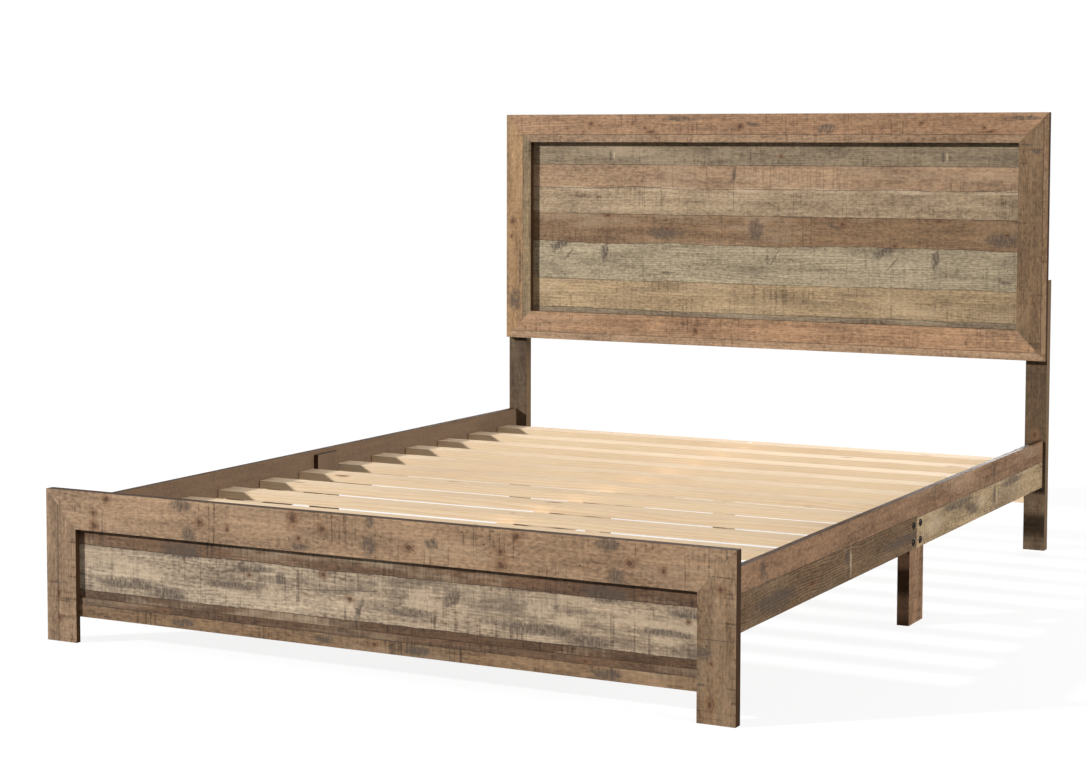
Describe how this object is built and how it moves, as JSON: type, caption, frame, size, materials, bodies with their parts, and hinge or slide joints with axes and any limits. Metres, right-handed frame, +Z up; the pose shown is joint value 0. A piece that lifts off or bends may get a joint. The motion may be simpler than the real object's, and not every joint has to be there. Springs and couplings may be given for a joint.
{
  "type": "bed frame",
  "caption": "Queen platform bed frame in weathered plank boards: framed headboard and footboard, split side rails on bolted centre legs, slatted deck on a centre beam.",
  "frame": {"origin": "middle of the bed's footprint, on the floor", "axes": "+X to the right seen from the foot end, +Y from the footboard to the headboard, +Z up"},
  "size_m": [1.62, 2.141, 1.165],
  "materials": {
    "plank_wood": "matte printed reclaimed-plank foil in tan, brown, pinkish and grey bands, with saw marks and knots",
    "dark_backing": "plain dark brown backing board",
    "pine": "bare planed softwood",
    "black_steel": "black zinc, satin",
    "zinc_steel": "bright zinc plate",
    "black_plastic": "moulded, fine grained"
  },
  "bodies": {
    "frame": {"bracket_bolts": "black_steel", "centre_beam_front": "pine", "centre_beam_rear": "pine", "centre_leg_bolts": "black_steel", "centre_leg_left_inner": "plank_wood", "centre_leg_left_outer": "plank_wood", "centre_leg_nuts": "zinc_steel", "centre_leg_right_inner": "plank_wood", "centre_leg_right_outer": "plank_wood", "corner_brackets": "black_steel", "deck_screws": "zinc_steel", "dowels": "pine", "footboard_bottom_rail": "plank_wood", "footboard_left_leg": "plank_wood", "footboard_left_post": "dark_backing", "footboard_panel": "plank_wood", "footboard_right_leg": "plank_wood", "footboard_right_post": "dark_backing", "footboard_screws": "zinc_steel", "footboard_top_rail": "plank_wood", "headboard_bottom_rail": "plank_wood", "headboard_left_leg": "plank_wood", "headboard_left_stile": "plank_wood", "headboard_leg_bolts": "black_steel", "headboard_panel": "plank_wood", "headboard_right_leg": "plank_wood", "headboard_right_stile": "plank_wood", "headboard_stretcher": "pine", "headboard_top_rail": "plank_wood", "panel_screws": "zinc_steel", "side_rail_left_front": "plank_wood", "side_rail_left_rear": "plank_wood", "side_rail_right_front": "plank_wood", "side_rail_right_rear": "plank_wood", "slat_01": "pine", "slat_02": "pine", "slat_03": "pine", "slat_04": "pine", "slat_05": "pine", "slat_06": "pine", "slat_07": "pine", "slat_08": "pine", "slat_09": "pine", "slat_10": "pine", "slat_11": "pine", "slat_12": "pine", "slat_cleat_left_front": "pine", "slat_cleat_left_rear": "pine", "slat_cleat_right_front": "pine", "slat_cleat_right_rear": "pine", "support_post_centre": "pine", "support_post_front": "pine", "support_post_rear": "pine", "threaded_inserts": "zinc_steel"},
    "foot_front": {"levelling_pad_front": "black_plastic"},
    "screw_front": {"levelling_stem_front": "zinc_steel"},
    "foot_centre": {"levelling_pad_centre": "black_plastic"},
    "screw_centre": {"levelling_stem_centre": "zinc_steel"},
    "foot_rear": {"levelling_pad_rear": "black_plastic"},
    "screw_rear": {"levelling_stem_rear": "zinc_steel"}
  },
  "joints": [
    {"name": "foot_travel_front", "type": "slide", "parent": "frame", "child": "foot_front", "axis": [0, 0, 1], "range_m": [-0.008, 0.01]},
    {"name": "foot_screw_front", "type": "hinge", "parent": "foot_front", "child": "screw_front", "pos_m": [0, -0.7785, 0], "axis": [0, 0, 1], "range_deg": [-2305, 2881]},
    {"name": "foot_travel_centre", "type": "slide", "parent": "frame", "child": "foot_centre", "axis": [0, 0, 1], "range_m": [-0.008, 0.01]},
    {"name": "foot_screw_centre", "type": "hinge", "parent": "foot_centre", "child": "screw_centre", "pos_m": [0, -0.005, 0], "axis": [0, 0, 1], "range_deg": [-2305, 2881]},
    {"name": "foot_travel_rear", "type": "slide", "parent": "frame", "child": "foot_rear", "axis": [0, 0, 1], "range_m": [-0.008, 0.01]},
    {"name": "foot_screw_rear", "type": "hinge", "parent": "foot_rear", "child": "screw_rear", "pos_m": [0, 0.7685, 0], "axis": [0, 0, 1], "range_deg": [-2305, 2881]}
  ],
  "couplings": [
    {"joint": "foot_screw_front", "follows": "foot_travel_front", "rad_per_m": 5026.5},
    {"joint": "foot_screw_centre", "follows": "foot_travel_centre", "rad_per_m": 5026.5},
    {"joint": "foot_screw_rear", "follows": "foot_travel_rear", "rad_per_m": 5026.5}
  ]
}
